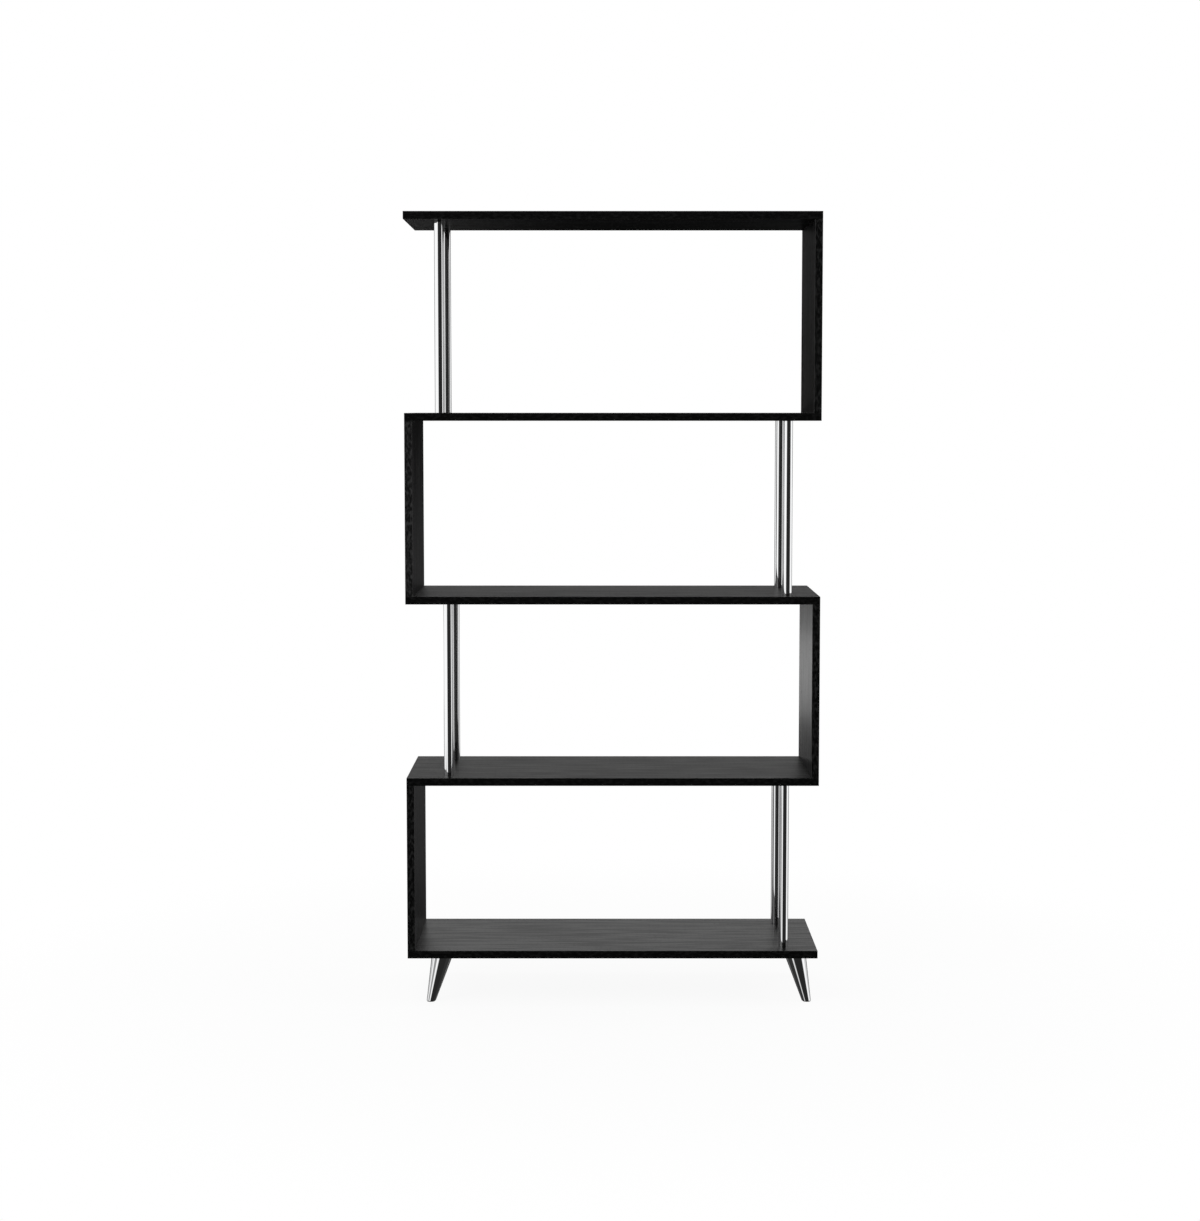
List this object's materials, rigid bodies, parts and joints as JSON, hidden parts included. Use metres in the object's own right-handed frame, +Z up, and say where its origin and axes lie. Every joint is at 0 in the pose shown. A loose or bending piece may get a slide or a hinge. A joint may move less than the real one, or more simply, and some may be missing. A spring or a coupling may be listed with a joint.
{
  "type": "zigzag bookshelf",
  "caption": "Tall open bookshelf with full-width shelves, side panels that alternate left and right in a zigzag, chrome tube posts and splayed tapered legs.",
  "frame": {"origin": "on the floor, under the middle of the boards", "axes": "+X to the right as seen from the front, +Y from front to rear, +Z up"},
  "size_m": [0.8, 0.3, 1.54],
  "materials": {
    "laminate": "black wood-grain laminate, satin",
    "edge_band": "black, fine grain",
    "chrome": "polished",
    "zinc": "zinc plated",
    "black_plastic": "moulded",
    "beech": "plain"
  },
  "bodies": {
    "root": {"base_shelf": "laminate", "base_shelf_band": "edge_band", "bottom_bay_front_tube": "chrome", "bottom_bay_panel": "laminate", "bottom_bay_panel_band": "edge_band", "bottom_bay_rear_tube": "chrome", "cam_bolts": "zinc", "cam_caps": "black_plastic", "cam_discs": "zinc", "front_left_leg": "chrome", "front_left_leg_glide": "black_plastic", "front_left_leg_plate": "zinc", "front_right_leg": "chrome", "front_right_leg_glide": "black_plastic", "front_right_leg_plate": "zinc", "leg_screws": "zinc", "lower_bay_front_tube": "chrome", "lower_bay_panel": "laminate", "lower_bay_panel_band": "edge_band", "lower_bay_rear_tube": "chrome", "lower_shelf": "laminate", "lower_shelf_band": "edge_band", "middle_shelf": "laminate", "middle_shelf_band": "edge_band", "panel_dowels": "beech", "rear_left_leg": "chrome", "rear_left_leg_glide": "black_plastic", "rear_left_leg_plate": "zinc", "rear_right_leg": "chrome", "rear_right_leg_glide": "black_plastic", "rear_right_leg_plate": "zinc", "top_bay_front_tube": "chrome", "top_bay_panel": "laminate", "top_bay_panel_band": "edge_band", "top_bay_rear_tube": "chrome", "top_board": "laminate", "top_board_band": "edge_band", "tube_base_bolts": "zinc", "tube_hanger_bolts": "zinc", "tube_lower_plugs": "zinc", "tube_upper_plugs": "zinc", "upper_bay_front_tube": "chrome", "upper_bay_panel": "laminate", "upper_bay_panel_band": "edge_band", "upper_bay_rear_tube": "chrome", "upper_shelf": "laminate", "upper_shelf_band": "edge_band"}
  },
  "joints": []
}
